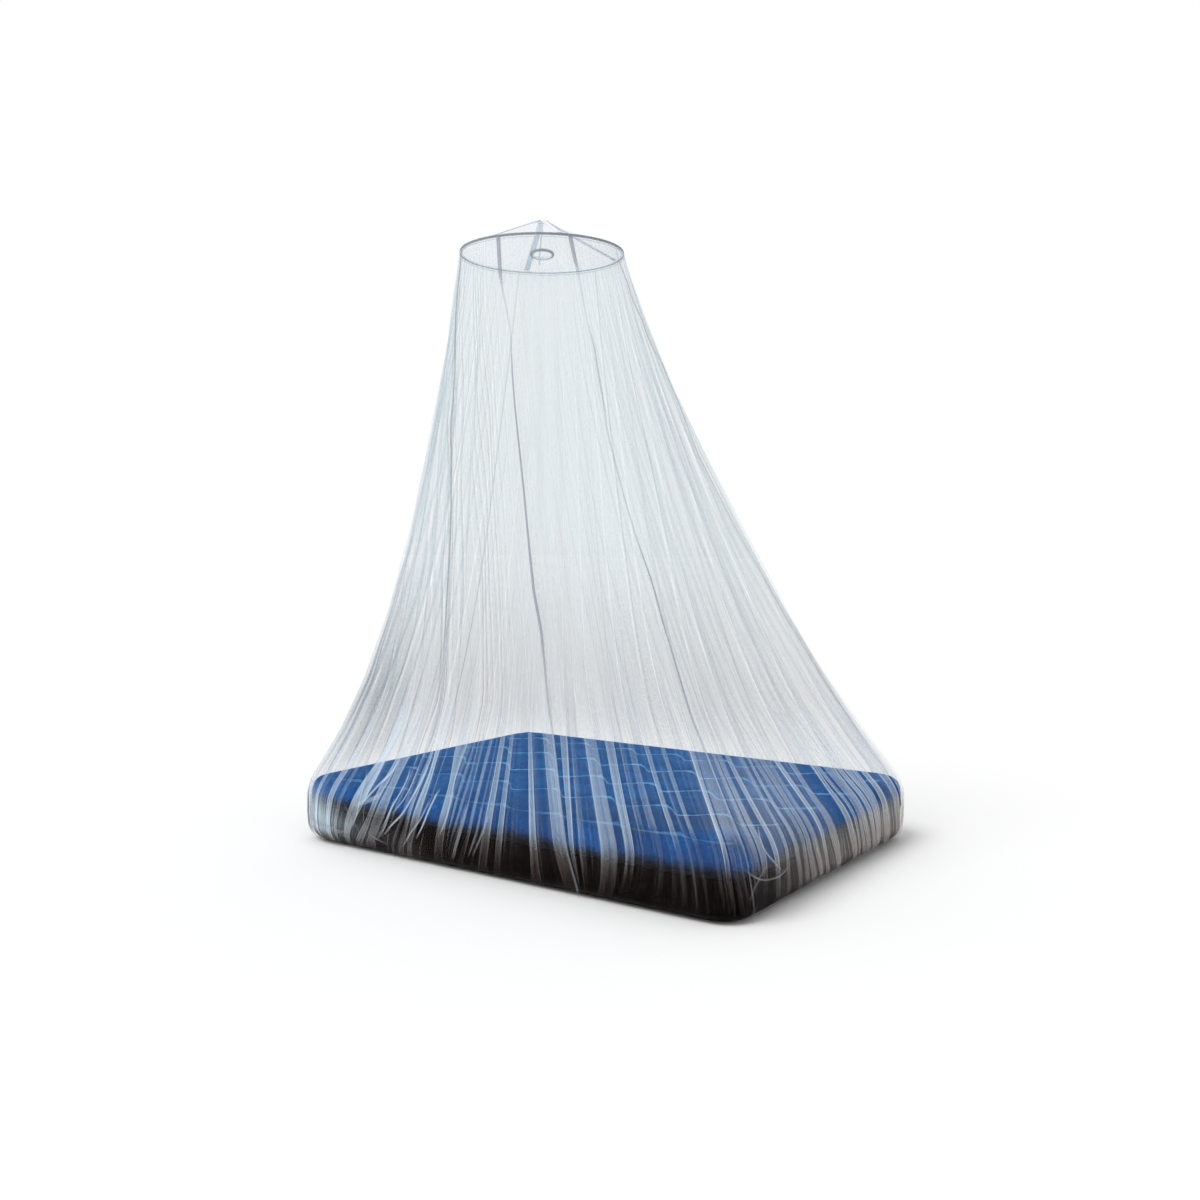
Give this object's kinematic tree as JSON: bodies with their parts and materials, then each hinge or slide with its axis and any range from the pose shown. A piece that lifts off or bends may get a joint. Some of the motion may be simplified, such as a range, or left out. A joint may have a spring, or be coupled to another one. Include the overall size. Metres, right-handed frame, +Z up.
{
  "type": "mosquito net canopy on a spreader hoop over a double air mattress",
  "caption": "Sheer mosquito net gathered on a round spreader hoop with a small tent crown, falling in uneven folds over the edges of an air mattress to the floor.",
  "frame": {"origin": "middle of the mattress's flat underside, on the floor", "axes": "+Z up, +X along the mattress's length, +Y across its width. The hoop hangs off the middle, 0.14 m towards -X and 0.22 m towards -Y"},
  "size_m": [1.9981, 1.4786, 2.3756],
  "materials": {
    "netting": "sheer white knitted polyester mosquito netting",
    "hoop_rod": "thin grey painted rod, satin",
    "webbing": "flat woven grey webbing",
    "ring": "dark satin moulded ring",
    "tie_tape": "narrow dark woven tie tape",
    "vinyl": "near black vinyl, soft satin",
    "flock": "blue short-pile flock over welded wavy channels"
  },
  "bodies": {
    "root": {"net_wall": "netting", "crown": "netting", "hoop": "hoop_rod", "crown_tape_1": "webbing", "crown_tape_2": "webbing", "crown_tape_3": "webbing", "crown_tape_4": "webbing", "apex_patch": "webbing", "centre_ring": "ring", "ring_tie_left": "tie_tape", "ring_tie_back": "tie_tape", "mattress_body": "vinyl", "mattress_top": "flock"}
  },
  "joints": []
}
